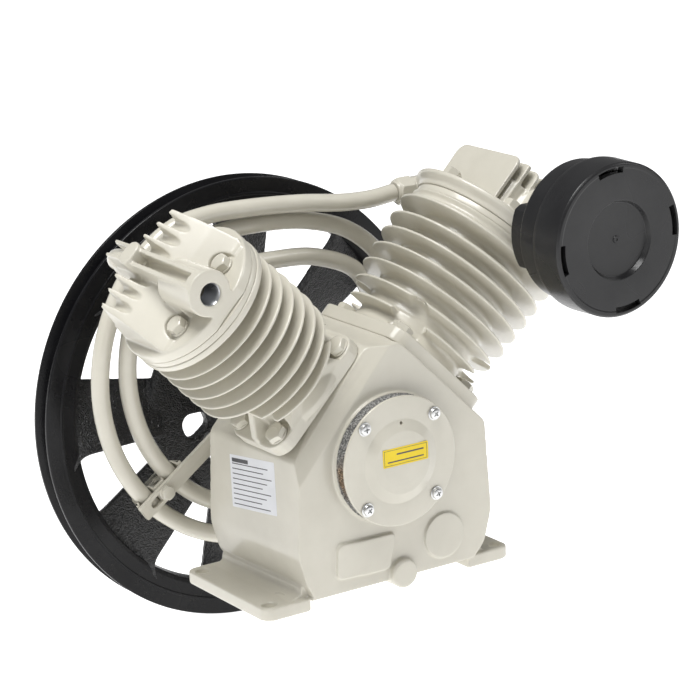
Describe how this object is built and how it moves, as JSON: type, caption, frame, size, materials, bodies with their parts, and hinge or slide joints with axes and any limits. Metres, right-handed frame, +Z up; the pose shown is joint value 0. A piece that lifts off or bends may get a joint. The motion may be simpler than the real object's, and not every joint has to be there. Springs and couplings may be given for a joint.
{
  "type": "two-stage v-twin air compressor pump",
  "caption": "Belt-driven two-stage V-twin compressor pump: finned cylinders on a footed crankcase, fan flywheel behind, wound intercooler tube, round intake filter on the larger head.",
  "frame": {"origin": "Centre of the four foot-bolt holes, on the plane that the feet stand on.", "axes": "+X towards the larger, low-pressure cylinder; +Y along the crankshaft towards the flywheel; +Z up. The crank axis is parallel to Y, 117.8 mm above the origin."},
  "size_m": [0.4535, 0.3598, 0.4374],
  "materials": {
    "cast_paint": "gloss",
    "bolt_paint": "gloss",
    "tube_paint": "gloss",
    "black_paint": "gloss",
    "black_plastic": "matte",
    "zinc_steel": "satin",
    "bare_steel": "satin",
    "aluminium": "satin",
    "grey_felt": "matte",
    "filter_paper": "matte",
    "black_rubber": "matte"
  },
  "bodies": {
    "pump": {"crankcase": "cast_paint", "front_cover": "cast_paint", "bearing_carrier": "cast_paint", "large_cylinder": "cast_paint", "small_cylinder": "cast_paint", "large_head": "cast_paint", "small_head": "cast_paint", "large_base_bolt_1": "bolt_paint", "large_base_bolt_2": "bolt_paint", "large_base_bolt_3": "bolt_paint", "large_base_bolt_4": "bolt_paint", "small_base_bolt_1": "bolt_paint", "small_base_bolt_2": "bolt_paint", "small_base_bolt_3": "bolt_paint", "small_base_bolt_4": "bolt_paint", "large_head_bolt_1": "bolt_paint", "large_head_bolt_2": "bolt_paint", "large_head_bolt_3": "bolt_paint", "large_head_bolt_4": "bolt_paint", "large_head_bolt_5": "bolt_paint", "large_head_bolt_6": "bolt_paint", "small_head_bolt_1": "bolt_paint", "small_head_bolt_2": "bolt_paint", "small_head_bolt_3": "bolt_paint", "small_head_bolt_4": "bolt_paint", "clip_bolt": "bolt_paint", "intercooler_tube": "tube_paint", "large_outlet_elbow": "tube_paint", "small_inlet_nut": "tube_paint", "tube_bracket": "tube_paint", "tube_clip": "tube_paint", "filter_body": "black_plastic", "filter_cap": "black_plastic", "cover_screw_1": "zinc_steel", "cover_screw_2": "zinc_steel", "cover_screw_3": "zinc_steel", "cover_screw_4": "zinc_steel", "carrier_bolt_1": "zinc_steel", "carrier_bolt_2": "zinc_steel", "carrier_bolt_3": "zinc_steel", "carrier_bolt_4": "zinc_steel", "bracket_bolt": "zinc_steel", "front_bearing": "bare_steel", "rear_bearing": "bare_steel", "large_valve_plate": "bare_steel", "small_valve_plate": "bare_steel", "breather_ring": "grey_felt", "filter_element": "filter_paper", "shaft_seal": "black_rubber"},
    "crank_train": {"crankshaft": "bare_steel", "flywheel_key": "bare_steel", "flywheel": "black_paint", "flywheel_bolt": "zinc_steel", "crankpin_bolt": "zinc_steel"},
    "large_piston_train": {"large_piston": "aluminium", "large_wrist_pin": "bare_steel", "large_rod": "aluminium"},
    "small_piston_train": {"small_piston": "aluminium", "small_wrist_pin": "bare_steel", "small_rod": "aluminium"}
  },
  "joints": [
    {"name": "crank_spin", "type": "hinge", "parent": "pump", "child": "crank_train", "pos_m": [0, 0, 0.1178], "axis": [0, 1, 0], "continuous": true},
    {"name": "large_piston_slide", "type": "slide", "parent": "pump", "child": "large_piston_train", "axis": [0.7071, 0, 0.7071], "range_m": [-0.03345, 0.00655]},
    {"name": "small_piston_slide", "type": "slide", "parent": "pump", "child": "small_piston_train", "axis": [-0.7071, 0, 0.7071], "range_m": [-0.03345, 0.00655]}
  ]
}
